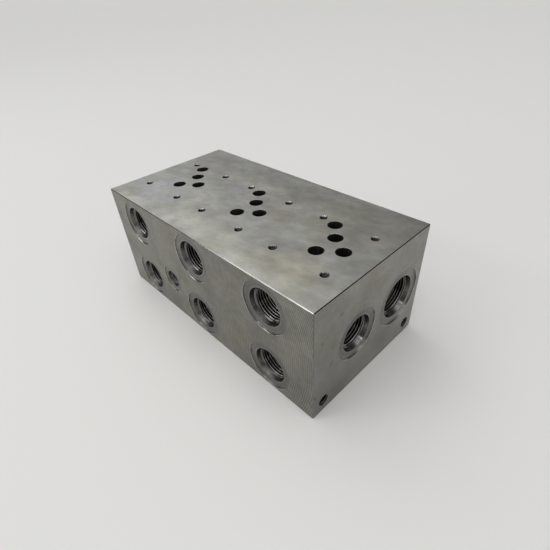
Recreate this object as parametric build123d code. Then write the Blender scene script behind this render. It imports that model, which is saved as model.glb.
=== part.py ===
from build123d import *
import os
from math import tan, radians

# Three-station hydraulic bar manifold: one steel bar, sawn, milled, ground on
# its valve face and drilled.  Millimetres.  X runs along the bar, Y across it,
# Z up; the origin is the middle of the bottom face.  The work ports open in
# the -Y face, the pump and tank ports in the +X face, and the three valve
# stations in the top face.

# ---------------------------------------------------------------- the bar ----
BAR_L = 247.65          # 9-3/4 in along X
BAR_W = 127.0           # 5 in along Y
BAR_H = 101.6           # 4 in along Z
EDGE_BREAK = 0.5        # chamfer on all twelve outer edges

FRONT = -BAR_W / 2
END = BAR_L / 2
TOP = BAR_H

# --------------------------------------------------- valve stations (top) ----
# ISO 4401-05 (NG10, D05) pattern, relative to the centre of its screw holes.
STATION_PITCH = 82.55   # 3-1/4 in
STATION_X = (-STATION_PITCH, 0.0, STATION_PITCH)
STATION_Y = -5.7
SCREW_DX = 23.0         # half of 46
SCREW_DY = 27.0         # half of 54
SCREW_TAP_D = 5.11      # 1/4-20 UNC tap drill
SCREW_MOUTH_D = 6.5     # countersink at the face
SCREW_DEPTH = 19.0
VALVE_PORT_D = 11.11    # 7/16 in drillings
VALVE_PORT_BREAK = 0.2
P_DX, P_DY = 16.7, 0.0
A_DX, A_DY = 1.6, -10.3
B_DX, B_DY = 1.6, 10.3
T_DX, T_DY = -9.5, 23.8

# ------------------------------------------------- O-ring boss ports (SAE) ----
# major, tap drill, seat mouth, seat depth, seat half angle, drilled depth,
# spotface diameter, spotface depth
SAE_6 = dict(major=14.29, tap=12.90, mouth=15.6, seat=2.5, half=12.0,
             deep=15.5, face=25.0, face_deep=0.7)
SAE_12 = dict(major=26.99, tap=24.90, mouth=29.2, seat=3.3, half=15.0,
              deep=23.0, face=41.3, face_deep=0.9)
SAE_16 = dict(major=33.34, tap=31.30, mouth=35.5, seat=3.3, half=15.0,
              deep=23.0, face=49.0, face_deep=0.9)
RIM_BREAK = 0.15        # broken edge around each spotface

# work ports, -Y face
WORK_X_SHIFT = -1.6     # the columns stand this far from the stations
WORK_X = tuple(x + WORK_X_SHIFT for x in STATION_X)
UPPER_Z = 79.6          # ports joined to the A drillings
LOWER_Z = 22.2          # ports joined to the B drillings
GAUGE_X = (WORK_X[0] + WORK_X[1]) / 2
GAUGE_Z = 38.1

# pump and tank ports, +X face
GALLERY_Z = 50.8
P_Y = -17.5
T_Y = 34.0

# --------------------------------------------------------- inner drillings ----
DRILL_POINT = 59.0      # half of the 118 degree drill point
P_GALLERY_D = 22.2
P_GALLERY_END_X = -74.0     # end of the full diameter
T_GALLERY_D = 28.6
T_GALLERY_END_X = -100.0
CROSS_D = 17.5              # from a work port in to its valve drilling
UPPER_CROSS_END_Y = -14.0
LOWER_CROSS_END_Y = 6.5
GAUGE_BORE_D = 7.94
GAUGE_BORE_END_Y = -17.5
P_DROP_Z = 50.8             # end of the full diameter of each valve drilling
T_DROP_Z = 44.0
A_DROP_Z = 76.0
B_DROP_Z = 18.5

# ---------------------------------------------- fixing holes (+X end face) ----
FIX_Y = 52.4            # 7/16 in in from the edges
FIX_Z = 11.1
FIX_TAP_D = 7.94        # 3/8-16 UNC tap drill
FIX_MOUTH_D = 9.8
FIX_DEPTH = 19.0


def cutter(origin, outward, profile):
    """A turned cutter.  profile is a list of (depth, radius) from the face
    inwards; the last radius is followed by a 118 degree drill point."""
    depth, radius = profile[-1]
    pts = [(0, 1.0), (profile[0][1], 1.0)]
    pts += [(r, -d) for d, r in profile]
    pts += [(0, -(depth + radius / tan(radians(DRILL_POINT))))]
    # drop repeated corners
    clean = [pts[0]]
    for p in pts[1:]:
        if abs(p[0] - clean[-1][0]) > 1e-6 or abs(p[1] - clean[-1][1]) > 1e-6:
            clean.append(p)
    face = make_face(Polyline(*clean, close=True))
    solid = revolve(Plane.XZ * face, Axis.Z, 360)
    return Plane(origin=origin, z_dir=outward) * solid


def step_cone(d0, r0, r1):
    """Drill-point transition from radius r0 to the smaller radius r1."""
    return (d0 + (r0 - r1) / tan(radians(DRILL_POINT)), r1)


def boss_port(size, bore_d, bore_end):
    """O-ring boss port: spotface, seat cone, countersink, tap drill, and then
    the passage of bore_d whose full diameter ends at bore_end."""
    f = size["face_deep"]
    rm = size["mouth"] / 2
    rs = rm - size["seat"] * tan(radians(size["half"]))
    rt = size["tap"] / 2
    rb = bore_d / 2
    prof = [(0.0, size["face"] / 2 + RIM_BREAK),
            (RIM_BREAK, size["face"] / 2),
            (f, size["face"] / 2),
            (f, rm),
            (f + size["seat"], rs),
            (f + size["seat"] + (rs - rt), rt),
            (f + size["deep"], rt),
            step_cone(f + size["deep"], rt, rb),
            (bore_end, rb)]
    return prof


def tapped(tap_d, mouth_d, deep):
    rt, rm = tap_d / 2, mouth_d / 2
    return [(0.0, rm), (rm - rt, rt), (deep, rt)]


def plain(d, deep, brk):
    return [(0.0, d / 2 + brk), (brk, d / 2), (deep, d / 2)]


bar = Pos(0, 0, BAR_H / 2) * Box(BAR_L, BAR_W, BAR_H)
bar = chamfer(bar.edges(), EDGE_BREAK)

cuts = []

# valve stations
for sx in STATION_X:
    for ux in (-1, 1):
        for uy in (-1, 1):
            cuts.append(cutter((sx + ux * SCREW_DX, STATION_Y + uy * SCREW_DY, TOP),
                               (0, 0, 1),
                               tapped(SCREW_TAP_D, SCREW_MOUTH_D, SCREW_DEPTH)))
    for dx, dy, drop in ((P_DX, P_DY, P_DROP_Z), (A_DX, A_DY, A_DROP_Z),
                         (B_DX, B_DY, B_DROP_Z), (T_DX, T_DY, T_DROP_Z)):
        cuts.append(cutter((sx + dx, STATION_Y + dy, TOP), (0, 0, 1),
                           plain(VALVE_PORT_D, TOP - drop, VALVE_PORT_BREAK)))

# work ports with their cross drillings
for wx in WORK_X:
    cuts.append(cutter((wx, FRONT, UPPER_Z), (0, -1, 0),
                       boss_port(SAE_12, CROSS_D, UPPER_CROSS_END_Y - FRONT)))
    cuts.append(cutter((wx, FRONT, LOWER_Z), (0, -1, 0),
                       boss_port(SAE_12, CROSS_D, LOWER_CROSS_END_Y - FRONT)))

# gauge port
cuts.append(cutter((GAUGE_X, FRONT, GAUGE_Z), (0, -1, 0),
                   boss_port(SAE_6, GAUGE_BORE_D, GAUGE_BORE_END_Y - FRONT)))

# pump and tank ports with their galleries
cuts.append(cutter((END, P_Y, GALLERY_Z), (1, 0, 0),
                   boss_port(SAE_12, P_GALLERY_D, END - P_GALLERY_END_X)))
cuts.append(cutter((END, T_Y, GALLERY_Z), (1, 0, 0),
                   boss_port(SAE_16, T_GALLERY_D, END - T_GALLERY_END_X)))

# fixing holes
for uy in (-1, 1):
    cuts.append(cutter((END, uy * FIX_Y, FIX_Z), (1, 0, 0),
                       tapped(FIX_TAP_D, FIX_MOUTH_D, FIX_DEPTH)))

block = bar
for c in cuts:
    block = block - c

solids = block.solids()
assert len(solids) == 1, len(solids)
manifold_block = solids[0]
manifold_block.label = "manifold_block"

os.makedirs("parts", exist_ok=True)
export_step(manifold_block, "parts/manifold_block.step")
print("volume cm3", round(manifold_block.volume / 1000, 2))
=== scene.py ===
import math
import bpy
import bmesh
import numpy as np
from mathutils import Matrix, Vector


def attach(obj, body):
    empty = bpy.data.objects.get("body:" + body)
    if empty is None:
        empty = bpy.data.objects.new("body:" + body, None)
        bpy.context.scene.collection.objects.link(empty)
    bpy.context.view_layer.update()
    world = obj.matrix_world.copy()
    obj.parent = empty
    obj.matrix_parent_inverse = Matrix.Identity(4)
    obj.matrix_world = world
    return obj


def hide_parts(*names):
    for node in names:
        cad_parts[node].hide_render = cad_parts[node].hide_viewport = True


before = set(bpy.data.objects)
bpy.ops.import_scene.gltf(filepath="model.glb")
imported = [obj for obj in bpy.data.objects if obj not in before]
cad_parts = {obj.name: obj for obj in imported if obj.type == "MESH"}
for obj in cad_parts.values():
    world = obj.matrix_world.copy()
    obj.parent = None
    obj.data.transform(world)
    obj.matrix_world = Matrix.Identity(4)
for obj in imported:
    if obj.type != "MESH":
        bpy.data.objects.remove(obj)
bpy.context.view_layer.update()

scene = bpy.context.scene
scene.view_settings.view_transform = "Standard"
scene.view_settings.look = "None"
scene.view_settings.exposure = 0.0
scene.view_settings.gamma = 1.0

# ---------------------------------------------------------------- camera ----
# the three axes of the view (right, down, forward) and its place, in mm
RIGHT = Vector((0.69778107, 0.71426789, -0.05406445))
DOWN = Vector((0.40767716, -0.45805823, -0.78992531))
AHEAD = Vector((-0.58898295, 0.52915408, -0.61081507))
CAM_AT = Vector((224.355, -180.281, 248.303))

cam_data = bpy.data.cameras.new("camera")
cam_data.sensor_fit = "HORIZONTAL"
cam_data.sensor_width = 36.0
cam_data.lens = 387.105 / 550.0 * 36.0
cam_data.clip_start = 0.01
cam_data.clip_end = 50.0
camera = bpy.data.objects.new("camera", cam_data)
scene.collection.objects.link(camera)
rot = Matrix((RIGHT, -DOWN, -AHEAD)).transposed()
camera.matrix_world = Matrix.Translation(CAM_AT * 0.001) @ rot.to_4x4()
scene.camera = camera

# ------------------------------------------------------------- dimensions ----
# the same numbers as the solid's source, in mm
MM = 0.001
L, W, H = 247.65, 127.0, 101.6
BREAK = 0.5
STATION_X = (-82.55, 0.0, 82.55)
STATION_Y = -5.7
SCREW_DX, SCREW_DY = 23.0, 27.0
VALVE_PORTS = ((16.7, 0.0, 50.8), (1.6, -10.3, 76.0), (1.6, 10.3, 18.5), (-9.5, 23.8, 44.0))
SAE_6 = dict(major=14.29, tap=12.90, mouth=15.6, seat=2.5, half=12.0, full=12.7,
             deep=15.5, face=25.0, face_deep=0.7, pitch=25.4 / 18, cols=72)
SAE_12 = dict(major=26.99, tap=24.90, mouth=29.2, seat=3.3, half=15.0, full=19.0,
              deep=23.0, face=41.3, face_deep=0.9, pitch=25.4 / 12, cols=96)
SAE_16 = dict(major=33.34, tap=31.30, mouth=35.5, seat=3.3, half=15.0, full=19.0,
              deep=23.0, face=49.0, face_deep=0.9, pitch=25.4 / 12, cols=112)
RIM = 0.15
WORK_X = tuple(x - 1.6 for x in STATION_X)
UPPER_Z, LOWER_Z = 79.6, 22.2
GAUGE_X, GAUGE_Z = (WORK_X[0] + WORK_X[1]) / 2, 38.1
GALLERY_Z, P_Y, T_Y = 50.8, -17.5, 34.0
POINT = math.tan(math.radians(59.0))
FRONT, END, TOP = -W / 2, L / 2, H


# ------------------------------------------------------------ mesh helpers ----
def axes_of(outward):
    n = np.array(outward, float)
    u = np.array((1.0, 0.0, 0.0)) if abs(n[0]) < 0.5 else np.array((0.0, 1.0, 0.0))
    u = u - n * np.dot(u, n)
    u /= np.linalg.norm(u)
    return n, u, np.cross(n, u)


def turned_solid(name, origin, outward, depth, radius, tip):
    """A closed solid from rows of (depth, radius). Both arrays are rows by
    columns+1, the last column being the first after one turn."""
    n, u, v = axes_of(outward)
    rows, cols = depth.shape[0], depth.shape[1] - 1
    ang = 2 * np.pi * np.arange(cols + 1) / cols
    ring = np.cos(ang)[:, None] * u + np.sin(ang)[:, None] * v
    pts = (np.array(origin, float) - depth[:, :, None] * n + radius[:, :, None] * ring[None])
    pts = pts.reshape(-1, 3)
    top = np.array(origin, float) - depth[0, 0] * n
    low = np.array(origin, float) - tip * n
    verts = [tuple(p * MM) for p in pts] + [tuple(top * MM), tuple(low * MM)]
    it, il = len(pts), len(pts) + 1
    c1 = cols + 1
    faces = []
    for i in range(rows - 1):
        a = i * c1
        b = a + c1
        for j in range(cols):
            faces.append((a + j, a + j + 1, b + j + 1, b + j))
    last = (rows - 1) * c1
    for j in range(cols):
        faces.append((it, j + 1, j))
        faces.append((il, last + j, last + j + 1))
    mesh = bpy.data.meshes.new(name)
    mesh.from_pydata(verts, [], faces)
    bm = bmesh.new()
    bm.from_mesh(mesh)
    bmesh.ops.remove_doubles(bm, verts=bm.verts, dist=2e-7)
    bmesh.ops.dissolve_degenerate(bm, edges=bm.edges, dist=1e-8)
    bmesh.ops.triangulate(bm, faces=[f for f in bm.faces if len(f.verts) > 3])
    bmesh.ops.recalc_face_normals(bm, faces=bm.faces)
    open_edges = sum(1 for e in bm.edges if len(e.link_faces) != 2)
    if open_edges:
        print("open edges in", name, open_edges)
    bm.to_mesh(mesh)
    bm.free()
    return mesh


def lathe(name, origin, outward, profile, cols, tip=None):
    """profile is (depth, radius) from the outside inwards; it ends in a drill
    point unless tip gives another end depth."""
    d = np.array([p[0] for p in profile], float)[:, None] * np.ones(cols + 1)
    r = np.array([p[1] for p in profile], float)[:, None] * np.ones(cols + 1)
    end = profile[-1][0] + profile[-1][1] / POINT if tip is None else tip
    return turned_solid(name, origin, outward, d, r, end)


def tapped_rod(name, origin, outward, start, full, r_minor, r_major, pitch, cols, after,
               runout=1.4):
    """The hole a tap leaves: a right-hand 60 degree thread from start to full,
    running out over the last turns, then the plain profile in after."""
    # crest, flank, root, flank, and the crest's worn outer corner
    phases = ((0.02, 0.0), (0.25, 0.0), (0.5625, 1.0), (0.6875, 1.0), (0.92, 0.2))
    turns = int(math.ceil((full - start) / pitch)) + 2
    ang = np.arange(cols + 1) / cols
    depth, radius = [np.full(cols + 1, start)], [np.full(cols + 1, r_minor)]
    for t in range(turns):
        for ph, k in phases:
            d = start + (t + ph - ang) * pitch
            fade = np.clip((full - d) / (runout * pitch), 0.0, 1.0)
            r = r_minor + (r_major - r_minor) * k * fade
            out = (d <= start) | (d >= full)
            r[out] = r_minor
            depth.append(np.clip(d, start, full))
            radius.append(r)
    depth.append(np.full(cols + 1, full))
    radius.append(np.full(cols + 1, r_minor))
    for d, r in after:
        depth.append(np.full(cols + 1, d))
        radius.append(np.full(cols + 1, r))
    tip = after[-1][0] + after[-1][1] / POINT
    return turned_solid(name, origin, outward, np.array(depth), np.array(radius), tip)


cutters = []


def screw_hole(name, origin, outward, tap, major, mouth, full, deep, pitch, cols):
    rt, rj, rm = tap / 2, major / 2, mouth / 2
    cutters.append(tapped_rod(name + "_rod", origin, outward, -0.6, full, rt, rj, pitch,
                              cols, ((deep, rt),)))
    cutters.append(lathe(name + "_sink", origin, outward,
                         ((-1.0, rm), (0.0, rm), (rm - rt + 0.5, rt - 0.5)), cols,
                         tip=rm - rt + 0.5))


def boss_port(name, origin, outward, s, bore, bore_end):
    f = s["face_deep"]
    rf, rm, rt = s["face"] / 2, s["mouth"] / 2, s["tap"] / 2
    rs = rm - s["seat"] * math.tan(math.radians(s["half"]))
    rb = bore / 2
    z0 = f + s["seat"]
    after = ((f + s["deep"], rt), (f + s["deep"] + (rt - rb) / POINT, rb), (bore_end, rb))
    cutters.append(tapped_rod(name + "_rod", origin, outward, z0 - 0.6, f + s["full"], rt,
                              s["major"] / 2, s["pitch"], s["cols"], after))
    cutters.append(lathe(name + "_seat", origin, outward,
                         ((-1.0, rf + RIM), (0.0, rf + RIM), (RIM, rf), (f, rf), (f, rm),
                          (z0, rs), (z0 + rs - (rt - 0.9), rt - 0.9)), s["cols"],
                         tip=z0 + rs - (rt - 0.9)))


for i, sx in enumerate(STATION_X):
    k = 0
    for ux in (-1, 1):
        for uy in (-1, 1):
            screw_hole("valve_screw_%d%d" % (i, k),
                       (sx + ux * SCREW_DX, STATION_Y + uy * SCREW_DY, TOP), (0, 0, 1),
                       5.11, 6.35, 6.5, 17.5, 19.0, 25.4 / 20, 36)
            k += 1
    for k, (dx, dy, z) in enumerate(VALVE_PORTS):
        cutters.append(lathe("valve_port_%d%d" % (i, k), (sx + dx, STATION_Y + dy, TOP),
                             (0, 0, 1), ((-1.0, 5.755), (0.0, 5.755), (0.2, 5.555),
                                         (TOP - z, 5.555)), 64))
    boss_port("a%d" % i, (WORK_X[i], FRONT, UPPER_Z), (0, -1, 0), SAE_12, 17.5, -14.0 - FRONT)
    boss_port("b%d" % i, (WORK_X[i], FRONT, LOWER_Z), (0, -1, 0), SAE_12, 17.5, 6.5 - FRONT)
boss_port("gauge", (GAUGE_X, FRONT, GAUGE_Z), (0, -1, 0), SAE_6, 7.94, -17.5 - FRONT)
boss_port("p", (END, P_Y, GALLERY_Z), (1, 0, 0), SAE_12, 22.2, END + 74.0)
boss_port("t", (END, T_Y, GALLERY_Z), (1, 0, 0), SAE_16, 28.6, END + 100.0)
for k, y in enumerate((-52.4, 52.4)):
    screw_hole("end_screw_%d" % k, (END, y, 11.1), (1, 0, 0), 7.94, 9.525, 9.8, 17.0,
               19.0, 25.4 / 16, 44)

# ---------------------------------------------------------- the bar itself ----
bm = bmesh.new()
bmesh.ops.create_cube(bm, size=1.0)
bmesh.ops.scale(bm, vec=(L * MM, W * MM, H * MM), verts=bm.verts)
bmesh.ops.translate(bm, vec=(0, 0, H * MM / 2), verts=bm.verts)
bmesh.ops.bevel(bm, geom=list(bm.edges), offset=BREAK * MM, offset_type="OFFSET",
                segments=1, profile=0.5, affect="EDGES", clamp_overlap=True)
bmesh.ops.triangulate(bm, faces=bm.faces)
block_mesh = bpy.data.meshes.new("manifold_block_steel")
bm.to_mesh(block_mesh)
bm.free()
block = bpy.data.objects.new("manifold_block_steel", block_mesh)
scene.collection.objects.link(block)


def subtract_all(target, meshes):
    holder = bpy.data.objects.new("cutter", meshes[0])
    scene.collection.objects.link(holder)
    mod = target.modifiers.new("cut", "BOOLEAN")
    mod.operation = "DIFFERENCE"
    mod.solver = "MANIFOLD"
    mod.object = holder
    for mesh in meshes:
        holder.data = mesh
        deps = bpy.context.evaluated_depsgraph_get()
        deps.update()
        cut = bpy.data.meshes.new_from_object(target.evaluated_get(deps))
        old = target.data
        target.data = cut
        bpy.data.meshes.remove(old)
        bpy.context.view_layer.update()
    target.modifiers.clear()
    bpy.data.objects.remove(holder)
    for mesh in meshes:
        bpy.data.meshes.remove(mesh)


subtract_all(block, cutters)

# ------------------------------------------------- faces, sharp edges, slots ----
SLOT_TOP, SLOT_SIDE, SLOT_END, SLOT_EDGE_AND_GLINT, SLOT_CORNER_SHADE, SLOT_SPOT_AND_GLINT, SLOT_SEAT, SLOT_THREAD, \
    SLOT_RIM_WEAR_AND_LIGHT, SLOT_BORE = range(10)
mesh = block.data
mesh.materials.clear()
nf = len(mesh.polygons)
centre = np.empty(nf * 3)
normal = np.empty(nf * 3)
mesh.polygons.foreach_get("center", centre)
mesh.polygons.foreach_get("normal", normal)
centre = centre.reshape(-1, 3) / MM
normal = normal.reshape(-1, 3)
slot = np.full(nf, SLOT_BORE, np.int32)


def on_plane(axis, value, sign, tol=0.01):
    return (np.abs(centre[:, axis] - value) < tol) & (normal[:, axis] * sign > 0.999)


slot[on_plane(2, TOP, 1)] = SLOT_TOP
slot[on_plane(2, 0.0, -1)] = SLOT_SIDE
slot[on_plane(1, FRONT, -1)] = SLOT_SIDE
slot[on_plane(1, -FRONT, 1)] = SLOT_SIDE
slot[on_plane(0, END, 1)] = SLOT_END
slot[on_plane(0, -END, -1)] = SLOT_END
outer = slot != SLOT_BORE
# the broken outer edges: close to two of the box's sides at once
near = ((END - np.abs(centre[:, 0])) < BREAK * 1.01).astype(int)
near += ((-FRONT - np.abs(centre[:, 1])) < BREAK * 1.01)
near += ((centre[:, 2] < BREAK * 1.01) | (TOP - centre[:, 2] < BREAK * 1.01))
slot[(~outer) & (near >= 2)] = SLOT_EDGE_AND_GLINT
# the end's broken edges take a darker material and the top/end edge the darkest, thread one:
# painted shade for the dark lines these edges show
slot[(slot == SLOT_EDGE_AND_GLINT) & (np.abs(normal[:, 0]) > 0.1)] = SLOT_CORNER_SHADE
slot[(slot == SLOT_CORNER_SHADE) & (normal[:, 2] > 0.1)] = SLOT_THREAD

# spotfaces and seats; turned falls steadily along each port's profile, in mm
PORTS = [((x, z), 1, FRONT, SAE_12) for x in WORK_X for z in (UPPER_Z, LOWER_Z)]
PORTS += [((GAUGE_X, GAUGE_Z), 1, FRONT, SAE_6),
          ((P_Y, GALLERY_Z), 0, END, SAE_12), ((T_Y, GALLERY_Z), 0, END, SAE_16)]
nv = len(mesh.vertices)
co = np.empty(nv * 3)
mesh.vertices.foreach_get("co", co)
co = co.reshape(-1, 3) / MM
turned = np.zeros(nv, np.float32)
across = np.zeros((nv, 3), np.float32)      # along each turned profile, across its grooves
across[:, 2] = 1.0
for (a, b), axis, face, s in PORTS:
    ia, ib = (0, 2) if axis == 1 else (1, 2)
    for pts, is_face in ((centre, True), (co, False)):
        r = np.hypot(pts[:, ia] - a, pts[:, ib] - b)
        d = np.abs(pts[:, axis] - face)
        if is_face:
            pick = (r < s["face"] / 2 + RIM) & (d < s["face_deep"] + 0.02) \
                & (slot == SLOT_BORE) & (r > s["major"] / 2 - 0.05)
            slot[pick] = SLOT_SPOT_AND_GLINT
            cone = s["mouth"] / 2 - s["seat"] * math.tan(math.radians(s["half"]))
            pick = (r < s["mouth"] / 2) & (r > s["tap"] / 2 + 0.1) & (slot == SLOT_BORE) \
                & (d < s["face_deep"] + s["seat"] + cone - s["tap"] / 2)
            slot[pick] = SLOT_SEAT
            # the broken rim and the wall of the spotface take a bright material: on the rim
            # partly bare deburred steel, partly a painted glint; on the wall painted light
            # against its shade. Then the tapped part and its crest corners
            slot[(r > s["face"] / 2 - 0.08) & (r < s["face"] / 2 + RIM)
                 & (slot == SLOT_SPOT_AND_GLINT)] = SLOT_RIM_WEAR_AND_LIGHT
            pick = (r < s["major"] / 2 + 0.1) & (d < s["face_deep"] + s["deep"] + 0.5) \
                & (slot == SLOT_BORE)
            slot[pick] = SLOT_THREAD
            facing = normal[:, axis] * (1.0 if face > 0 else -1.0)
            low = (b - centre[:, 2]) / r             # 1 at the bottom of the bore, where the painted highlights go
            # brighter materials on the crest corners and outward flanks at the bottom of each
            # bore are painted highlights, the glints the threads catch there
            slot[pick & (low > 0.45) & (facing > 0.62) & (facing < 0.78)
                 & (r < s["tap"] / 2 + 0.2)] = SLOT_EDGE_AND_GLINT
            slot[pick & (low > 0.52) & (facing > 0.8)] = SLOT_SPOT_AND_GLINT
            slot[pick & (low > 0.66) & (facing > 0.8)] = SLOT_EDGE_AND_GLINT
        else:
            pick = (r < s["face"] / 2 + RIM + 0.01) & (d < s["face_deep"] + s["deep"])
            turned[pick] = r[pick] - d[pick]
            out = np.zeros((int(pick.sum()), 3))
            out[:, ia] = (pts[pick, ia] - a) / r[pick]
            out[:, ib] = (pts[pick, ib] - b) / r[pick]
            out[:, axis] = 1.0 if face > 0 else -1.0
            across[pick] = out
SCREWS = [(2, (0, 1), (sx + ux * SCREW_DX, STATION_Y + uy * SCREW_DY), TOP, 3.26, 0.69)
          for sx in STATION_X for ux in (-1, 1) for uy in (-1, 1)]
SCREWS += [(0, (1, 2), (y, 11.1), END, 4.91, 0.0) for y in (-52.4, 52.4)]
for axis, (ia, ib), (a, b), face, rm, sink in SCREWS:
    r = np.hypot(centre[:, ia] - a, centre[:, ib] - b)
    d = np.abs(centre[:, axis] - face)
    inside = (r < rm) & (d < 20.0) & (slot == SLOT_BORE)
    slot[inside] = SLOT_THREAD
    slot[inside & (d < sink)] = SLOT_EDGE_AND_GLINT
mesh.attributes.new("turned", "FLOAT", "POINT").data.foreach_set("value", turned)
mesh.attributes.new("across", "FLOAT_VECTOR", "POINT").data.foreach_set("vector",
                                                                        across.ravel())
mesh.polygons.foreach_set("material_index", slot)
mesh.polygons.foreach_set("use_smooth", np.ones(nf, bool))
outer = (slot == SLOT_TOP) | (slot == SLOT_SIDE) | (slot == SLOT_END)
bm = bmesh.new()
bm.from_mesh(mesh)
bm.faces.ensure_lookup_table()
for e in bm.edges:
    if len(e.link_faces) != 2:
        e.smooth = False
        continue
    f, g = e.link_faces
    if outer[f.index] != outer[g.index]:
        e.smooth = False
    elif e.calc_face_angle(0.0) > math.radians(25.0):
        e.smooth = False
    else:
        e.smooth = True
bm.to_mesh(mesh)
bm.free()
mesh.update()


# --------------------------------------------------------------- materials ----
class Tree:
    def __init__(self, name):
        self.mat = bpy.data.materials.new(name)
        self.mat.use_nodes = True
        self.t = self.mat.node_tree
        self.t.nodes.clear()
        self.out = self.t.nodes.new("ShaderNodeOutputMaterial")
        self.bsdf = self.t.nodes.new("ShaderNodeBsdfPrincipled")
        self.t.links.new(self.bsdf.outputs["BSDF"], self.out.inputs["Surface"])
        self.coord = self.t.nodes.new("ShaderNodeTexCoord").outputs["Object"]

    def link(self, a, b):
        self.t.links.new(a, b)

    def put(self, value, sock):
        if isinstance(value, (int, float, tuple)):
            sock.default_value = value
        else:
            self.link(value, sock)

    def mapping(self, vec, scale=(1, 1, 1), rot=(0, 0, 0), loc=(0, 0, 0)):
        n = self.t.nodes.new("ShaderNodeMapping")
        self.link(vec, n.inputs["Vector"])
        n.inputs["Scale"].default_value = scale
        n.inputs["Rotation"].default_value = rot
        n.inputs["Location"].default_value = loc
        return n.outputs["Vector"]

    def noise(self, vec, scale, detail=4.0, rough=0.5, distortion=0.0):
        n = self.t.nodes.new("ShaderNodeTexNoise")
        self.link(vec, n.inputs["Vector"])
        n.inputs["Scale"].default_value = scale
        n.inputs["Detail"].default_value = detail
        n.inputs["Roughness"].default_value = rough
        n.inputs["Distortion"].default_value = distortion
        return n.outputs["Fac"]

    def math(self, op, a, b=0.0, c=0.0, clamp=False):
        n = self.t.nodes.new("ShaderNodeMath")
        n.operation = op
        n.use_clamp = clamp
        for v, s in zip((a, b, c), n.inputs):
            self.put(v, s)
        return n.outputs[0]

    def remap(self, v, a, b, c, d, smooth=False):
        n = self.t.nodes.new("ShaderNodeMapRange")
        n.interpolation_type = "SMOOTHSTEP" if smooth else "LINEAR"
        self.put(v, n.inputs["Value"])
        for key, x in (("From Min", a), ("From Max", b), ("To Min", c), ("To Max", d)):
            n.inputs[key].default_value = x
        return n.outputs["Result"]

    def mix(self, fac, a, b, kind="MIX"):
        n = self.t.nodes.new("ShaderNodeMix")
        n.data_type = "RGBA"
        n.blend_type = kind
        self.put(fac, n.inputs[0])
        self.put(a, n.inputs[6])
        self.put(b, n.inputs[7])
        return n.outputs[2]

    def bump(self, height, strength, distance, normal=None):
        n = self.t.nodes.new("ShaderNodeBump")
        n.inputs["Strength"].default_value = strength
        n.inputs["Distance"].default_value = distance
        self.link(height, n.inputs["Height"])
        if normal is not None:
            self.link(normal, n.inputs["Normal"])
        return n.outputs["Normal"]

    def xyz(self, vec):
        n = self.t.nodes.new("ShaderNodeSeparateXYZ")
        self.link(vec, n.inputs[0])
        return n.outputs

    def attribute(self, name, kind="Fac"):
        n = self.t.nodes.new("ShaderNodeAttribute")
        n.attribute_name = name
        return n.outputs[kind]

    def grooved(self, amount):
        """Stretch highlights across the turning grooves."""
        self.bsdf.inputs["Anisotropic"].default_value = amount
        self.link(self.attribute("across", "Vector"), self.bsdf.inputs["Tangent"])


def shade(t, colour, factor):
    return t.mix(1.0, colour, factor, "MULTIPLY")


def finish(name, base, rough, patch=0.10, tint=0.5, cool=(0.985, 0.965, 1.06), mottle=0.05,
           warm=(1.03, 1.01, 0.90), grain=(60.0, 900.0, 900.0), grain_amount=0.04,
           seed=(0.0, 0.0, 0.0), streaks=0.8, large=1.0, veins=0.5, turn=45.0):
    """Bare machined steel: cloudy patches and oxide tints a few centimetres
    long, small mottling, and fine grain.  Returns the tree, its colour, its
    roughness and the grain, for the caller to add to and then close()."""
    t = Tree(name)
    t.bsdf.inputs["Metallic"].default_value = 1.0
    laid = t.mapping(t.coord, rot=(0, 0, math.radians(turn)), loc=seed)
    cloud = t.noise(t.mapping(laid, scale=(1.8, 1.0, 1.5)), 27.0 / large, 3.0, 0.5, 0.3)
    hue = t.noise(t.mapping(laid, scale=(1.6, 1.0, 1.4), loc=(3.1, 1.7, 0.4)), 21.0 / large,
                  3.0, 0.55, 0.5)
    streak = t.noise(t.mapping(laid, scale=(12.0, 1.4, 9.0)), 30.0, 2.0, 0.5)
    small = t.noise(t.mapping(laid, scale=(1.4, 1.0, 1.3), loc=(7.0, 2.0, 5.0)), 150.0,
                    3.0, 0.6)
    marble = t.noise(t.mapping(laid, scale=(1.5, 1.0, 1.4), loc=(1.0, 8.0, 3.0)), 68.0,
                     3.5, 0.55, 0.35)
    fine = t.noise(t.mapping(t.coord, scale=grain), 1.0, 3.0, 0.65)
    c3 = tuple(base[i] * cool[i] for i in range(3)) + (1.0,)
    w3 = tuple(base[i] * warm[i] for i in range(3)) + (1.0,)
    colour = t.mix(t.remap(hue, 0.52, 0.66, 0.0, tint, True), base + (1.0,), c3)
    colour = t.mix(t.remap(hue, 0.48, 0.34, 0.0, tint, True), colour, w3)
    colour = shade(t, colour, t.remap(cloud, 0.32, 0.68, 1.0 - patch, 1.0 + patch))
    colour = shade(t, colour, t.remap(marble, 0.34, 0.66, 1.0 - patch * veins,
                                       1.0 + patch * veins))
    colour = shade(t, colour, t.remap(streak, 0.3, 0.7, 1.0 - mottle * streaks,
                                       1.0 + mottle * streaks))
    colour = shade(t, colour, t.remap(small, 0.3, 0.7, 1.0 - mottle, 1.0 + mottle))
    colour = shade(t, colour, t.remap(fine, 0.3, 0.7, 1.0 - grain_amount, 1.0 + grain_amount))
    r = t.math("ADD", t.remap(cloud, 0.3, 0.7, rough + 0.04, rough - 0.04),
               t.remap(small, 0.3, 0.7, -0.02, 0.02))
    return t, colour, r, fine


def close(t, colour, rough, normal):
    t.link(colour, t.bsdf.inputs["Base Color"])
    if isinstance(rough, float):
        t.bsdf.inputs["Roughness"].default_value = rough
    else:
        t.link(rough, t.bsdf.inputs["Roughness"])
    t.link(normal, t.bsdf.inputs["Normal"])
    return t.mat


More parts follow.
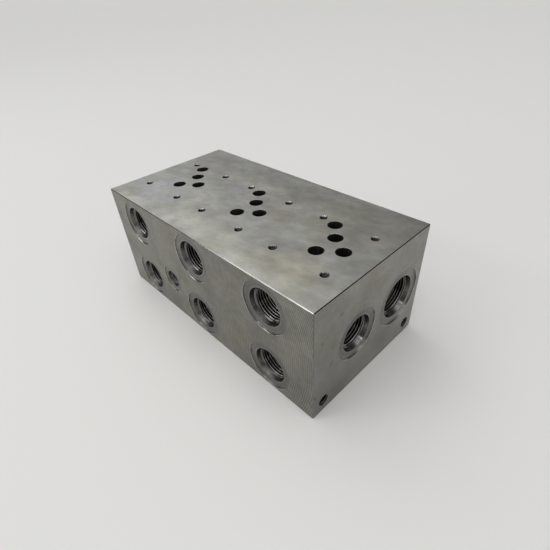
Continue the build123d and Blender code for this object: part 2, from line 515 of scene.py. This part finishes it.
def stain(t, colour, at, half, tint, wobble):
    """A soft oxide patch about half[0] by half[1] mm either way, with a ragged rim."""
    v = t.mapping(t.coord, loc=(-at[0] * MM, -at[1] * MM, -TOP * MM))
    v = t.mapping(v, scale=(1.0 / (half[0] * MM), 1.0 / (half[1] * MM), 0.0))
    n = t.t.nodes.new("ShaderNodeVectorMath")
    n.operation = "LENGTH"
    t.link(v, n.inputs[0])
    away = t.math("ADD", n.outputs["Value"], wobble)
    return t.mix(t.remap(away, 0.35, 1.30, 1.0, 0.0, True), colour, shade(t, colour,
                                                                          tint + (1.0,)))


# where the ground face is stained: centre, half size in mm, tint
STAINS = (((-88, -38), (38, 22), (0.97, 0.98, 1.05)), ((84, -36), (26, 18), (1.025, 1.00, 0.945)),
          ((5, -48), (46, 13), (1.05, 1.05, 1.01)), ((-15, 34), (20, 10), (1.02, 1.03, 0.97)),
          ((-39, 13.5), (17, 7.5), (0.89, 0.87, 0.96)), ((-80, 46), (18, 12), (0.88, 0.88, 0.89)),
          ((46, 45), (14, 6), (0.86, 0.86, 0.87)), ((28, 3), (15, 12), (0.92, 0.895, 0.865)),
          ((-64, -49), (12, 8), (0.90, 0.90, 0.92)), ((62, 12), (13, 10), (0.92, 0.91, 0.90)),
          ((104, 28), (15, 22), (1.10, 1.08, 1.05)), ((-97, 0), (24, 22), (0.86, 0.87, 0.90)),
          ((0, 50), (24, 9), (0.92, 0.92, 0.915)), ((-98, 20), (10, 14), (1.0, 0.97, 0.96)))


def ground_top():
    t, colour, r, fine = finish("steel_ground", (0.503, 0.503, 0.464), 0.30, patch=0.20,
                                tint=0.45, mottle=0.035, grain=(70.0, 1500.0, 1500.0),
                                grain_amount=0.015, streaks=0.5, large=1.0, veins=0.55,
                                turn=80.0)
    wobble = t.noise(t.mapping(t.coord, loc=(5.0, 1.0, 0.0)), 70.0, 4.0, 0.6, 0.6)
    wobble = t.remap(wobble, 0.3, 0.7, -0.35, 0.35)
    for at, half, tint in STAINS:
        colour = stain(t, colour, at, half, tint, wobble)
    return close(t, colour, r, t.bump(fine, 0.02, 0.000002))


def milled_side():
    """Face-milled: shallow arcs 1.9 mm apart left by the cutter's edge as it
    went along the bar, clearer towards the +X end."""
    # its base colour is set far darker than the ground top's: partly the milled finish, partly
    # painted shade on the upright and lower faces
    t, colour, r, fine = finish("steel_milled", (0.211, 0.208, 0.181), 0.36, patch=0.11,
                                tint=0.45, mottle=0.09, warm=(1.06, 1.01, 0.88),
                                grain=(1100.0, 1100.0, 90.0), grain_amount=0.06,
                                seed=(5.3, 2.2, 1.1))
    x, y, z = (t.xyz(t.coord)[i] for i in range(3))
    s = t.math("SUBTRACT", z, 0.045)
    root = t.math("SQRT", t.math("SUBTRACT", 0.12 * 0.12, t.math("MULTIPLY", s, s)))
    arc = t.math("SUBTRACT", x, root)
    wander = t.noise(t.mapping(t.coord, loc=(2.0, 9.0, 4.0)), 60.0, 2.0, 0.5)
    phase = t.math("ADD", t.math("MULTIPLY", arc, 2 * math.pi / 0.0019),
                   t.math("MULTIPLY", wander, 3.2))
    wave = t.math("SINE", phase)
    area = t.noise(t.mapping(t.coord, loc=(1.0, 3.0, 8.0), scale=(1.0, 1.0, 0.7)), 26.0, 2.0,
                   0.5)
    depth = t.math("MULTIPLY", t.remap(area, 0.36, 0.56, 0.35, 1.0, True),
                   t.remap(x, -0.06, 0.11, 0.32, 1.0, True))
    depth = t.math("MULTIPLY", depth, t.remap(y, -0.06, 0.0, 1.0, 0.4))
    cut = t.math("MULTIPLY", wave, depth)
    colour = shade(t, colour, t.remap(cut, -1.0, 1.0, 0.71, 1.29))
    n = t.bump(fine, 0.12, 0.000005)
    return close(t, colour, r, t.bump(cut, 0.5, 0.00001, n))


def sawn_end():
    """Fly-cut end: finer arcs, a few scratches and small dark specks, and painted shade towards
    its bottom front corner.
    """
    # its base colour is set far darker than the ground top's: partly the fly-cut finish, partly
    # painted shade on the end
    t, colour, r, fine = finish("steel_end", (0.247, 0.244, 0.223), 0.36, patch=0.10,
                                tint=0.5, mottle=0.055, grain=(1100.0, 1100.0, 120.0),
                                grain_amount=0.05, seed=(1.3, 6.2, 3.1))
    speck = t.noise(t.mapping(t.coord, loc=(4.0, 4.0, 4.0)), 120.0, 1.0, 0.4)
    colour = shade(t, colour, t.remap(speck, 0.70, 0.76, 1.0, 0.72, True))
    line = t.noise(t.mapping(t.mapping(t.coord, rot=(math.radians(32), 0, 0)),
                             scale=(1.0, 9.0, 420.0)), 1.6, 2.0, 0.5)
    colour = shade(t, colour, t.remap(line, 0.66, 0.72, 1.0, 1.14, True))
    x, y, z = (t.xyz(t.coord)[i] for i in range(3))
    # darker towards the bottom front corner of the end, where it meets the floor: painted shade
    dy, dz = t.math("ADD", y, 0.058), t.math("SUBTRACT", z, 0.004)
    away = t.math("SQRT", t.math("ADD", t.math("MULTIPLY", dy, dy), t.math("MULTIPLY", dz, dz)))
    colour = shade(t, colour, t.remap(away, 0.005, 0.048, 0.74, 1.0, True))
    return close(t, colour, r, t.bump(fine, 0.12, 0.000005))


def rings(t, count, seed):
    """Uneven turning rings, from how far along its port's profile a point is."""
    n = t.t.nodes.new("ShaderNodeCombineXYZ")
    t.link(t.math("MULTIPLY", t.attribute("turned"), count), n.inputs[0])
    n.inputs[1].default_value = seed
    return t.noise(n.outputs[0], 1.0, 2.0, 0.6)


# turned steel of the spotfaces, also laid on the lower thread flanks as a painted highlight
def turned_face_and_glint():
    t, colour, r, fine = finish("steel_spotface_and_glint", (0.172, 0.169, 0.155), 0.29, patch=0.10,
                                tint=0.5, mottle=0.05, grain=(900.0, 900.0, 900.0),
                                grain_amount=0.03, seed=(2.0, 0.4, 7.0))
    t.grooved(0.85)
    ring = rings(t, 1.3, 0.3)
    colour = shade(t, colour, t.remap(ring, 0.3, 0.7, 0.72, 1.24))
    return close(t, colour, r, t.bump(ring, 0.35, 0.00003, t.bump(fine, 0.1, 0.000004)))


# the seat cones' dark base colour: partly their own tone, partly painted shade in the port mouths
def seat_cone():
    t, colour, r, fine = finish("steel_seat", (0.142, 0.140, 0.134), 0.185, patch=0.12,
                                tint=0.4, mottle=0.05, grain=(900.0, 900.0, 900.0),
                                grain_amount=0.03, seed=(3.0, 5.4, 2.0))
    t.grooved(0.88)
    ring = rings(t, 2.2, 4.1)
    colour = shade(t, colour, t.remap(ring, 0.3, 0.7, 0.72, 1.24))
    return close(t, colour, r, t.bump(ring, 0.7, 0.00006, t.bump(fine, 0.1, 0.000004)))


# near-black steel for the threads and screw holes: partly the dull tapped steel's own tone,
# partly painted shade inside the bores; on the top/end edge it is painted shade
def tapped():
    t, colour, r, fine = finish("steel_thread", (0.072, 0.071, 0.070), 0.16, patch=0.12,
                                tint=0.4, mottle=0.05, grain=(700.0, 700.0, 700.0),
                                grain_amount=0.03, seed=(9.0, 1.4, 2.0))
    t.grooved(0.5)
    return close(t, colour, r, t.bump(fine, 0.15, 0.000005))


def drilled():
    t, colour, r, fine = finish("steel_bore", (0.26, 0.256, 0.24), 0.34, patch=0.12,
                                tint=0.4, mottle=0.08, grain=(500.0, 500.0, 500.0),
                                grain_amount=0.05, seed=(4.0, 7.4, 2.0))
    return close(t, colour, r, t.bump(fine, 0.3, 0.00001))


# bright steel for the spotface rims and walls: partly bare deburred steel, partly a painted glint
# on the rims and painted light against the walls' shade
def rim_wear_and_light():
    t, colour, r, fine = finish("steel_rim_wear_and_light", (0.54, 0.533, 0.515), 0.17, patch=0.10, tint=0.3,
                                mottle=0.10, grain=(400.0, 400.0, 400.0), grain_amount=0.06)
    return close(t, colour, r, t.bump(fine, 0.1, 0.000004))


# bare steel of the broken edges and countersinks, also laid on the lower thread crests and flanks
# as painted glints
def edge_and_glint():
    t, colour, r, fine = finish("steel_edge_and_glint", (0.25, 0.247, 0.235), 0.18, patch=0.12, tint=0.3,
                                mottle=0.10, grain=(400.0, 400.0, 400.0), grain_amount=0.06)
    return close(t, colour, r, t.bump(fine, 0.15, 0.000005))


# darker steel for the end's broken edges: painted shade
def painted_shade_corner():
    t, colour, r, fine = finish("steel_corner_painted_shade", (0.19, 0.186, 0.170), 0.42, patch=0.12,
                                tint=0.3, mottle=0.12, grain=(500.0, 500.0, 200.0),
                                grain_amount=0.10)
    return close(t, colour, r, t.bump(fine, 0.15, 0.000006))


for mat in (ground_top(), milled_side(), sawn_end(), edge_and_glint(), painted_shade_corner(),
            turned_face_and_glint(), seat_cone(), tapped(), rim_wear_and_light(), drilled()):
    mesh.materials.append(mat)

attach(block, "root")
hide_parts("manifold_block")

# ----------------------------------------------------------- floor and light ----
floor_mesh = bpy.data.meshes.new("floor")
s = 150.0
floor_mesh.from_pydata([(-s, -s, 0), (s, -s, 0), (s, s, 0), (-s, s, 0)], [], [(0, 1, 2, 3)])
floor = bpy.data.objects.new("floor", floor_mesh)
scene.collection.objects.link(floor)
ft = Tree("floor_cloth")
ft.bsdf.inputs["Base Color"].default_value = (0.755, 0.753, 0.740, 1.0)
ft.bsdf.inputs["Roughness"].default_value = 0.9
ft.bsdf.inputs["Specular IOR Level"].default_value = 0.2
floor_mesh.materials.append(ft.mat)


def area(name, at, aim, size, power, colour=(1, 1, 1), roll=0.0):
    d = bpy.data.lights.new(name, "AREA")
    d.shape = "RECTANGLE"
    d.size, d.size_y = size
    d.energy = power
    d.color = colour
    o = bpy.data.objects.new(name, d)
    o.location = at
    turn = (Vector(aim) - Vector(at)).to_track_quat("-Z", "Y").to_matrix()
    o.rotation_euler = (turn @ Matrix.Rotation(math.radians(roll), 3, "Z")).to_euler()
    scene.collection.objects.link(o)
    return o


# two soft boxes to the front left: the first one is what the broken edges show
area("soft_box_low", (-0.732, -1.320, 1.03), (0, 0, 0.05), (1.32, 0.27), 4.3, roll=20.0)
area("soft_box_high", (-0.1468, -0.8324, 1.8626), (0, 0, 0.05), (1.2, 1.2), 2.1)

# a grey room with a long diffuser overhead, along the bar, and a few soft panels:
# azimuth, elevation, brightness, narrowness
PANELS = ((180, 56, 1.60, 16), (0, 88, 1.66, 16), (0, 56, 1.50, 16), (165, 30, 0.43, 16),
          (135, 56, 0.34, 16), (135, 30, 0.07, 16), (-100, 8, 1.1, 24), (-45, 8, 0.6, 16),
          (0, 7, 0.8, 24), (-125, 5, 2.2, 60), (22, 5, 1.5, 60), (-78, 60, 8.0, 300),
          (-129, 46, 4.2, 200))
world = bpy.data.worlds.new("room")
scene.world = world
world.use_nodes = True
wt = world.node_tree
wt.nodes.clear()
wo = wt.nodes.new("ShaderNodeOutputWorld")
wb = wt.nodes.new("ShaderNodeBackground")
wb.inputs["Color"].default_value = (1.0, 0.995, 0.985, 1.0)
wc = wt.nodes.new("ShaderNodeTexCoord").outputs["Generated"]


def world_math(op, a, b):
    n = wt.nodes.new("ShaderNodeMath")
    n.operation = op
    for v, sock in zip((a, b), n.inputs):
        if isinstance(v, (int, float)):
            sock.default_value = v
        else:
            wt.links.new(v, sock)
    return n.outputs[0]


glow = 0.185
for az, el, power, narrow in PANELS:
    ca, ce = math.radians(az), math.radians(el)
    dot = wt.nodes.new("ShaderNodeVectorMath")
    dot.operation = "DOT_PRODUCT"
    wt.links.new(wc, dot.inputs[0])
    dot.inputs[1].default_value = (math.cos(ce) * math.cos(ca), math.cos(ce) * math.sin(ca),
                                   math.sin(ce))
    lobe = world_math("POWER", world_math("MAXIMUM", dot.outputs["Value"], 0.0),
                      float(narrow))
    glow = world_math("ADD", world_math("MULTIPLY", lobe, power), glow)
# the backdrop behind the floor is plain
seen = wt.nodes.new("ShaderNodeLightPath").outputs["Is Camera Ray"]
glow = world_math("ADD", world_math("MULTIPLY", glow, world_math("SUBTRACT", 1.0, seen)),
                  world_math("MULTIPLY", seen, 0.62))
wt.links.new(glow, wb.inputs["Strength"])
wt.links.new(wb.outputs[0], wo.inputs[0])
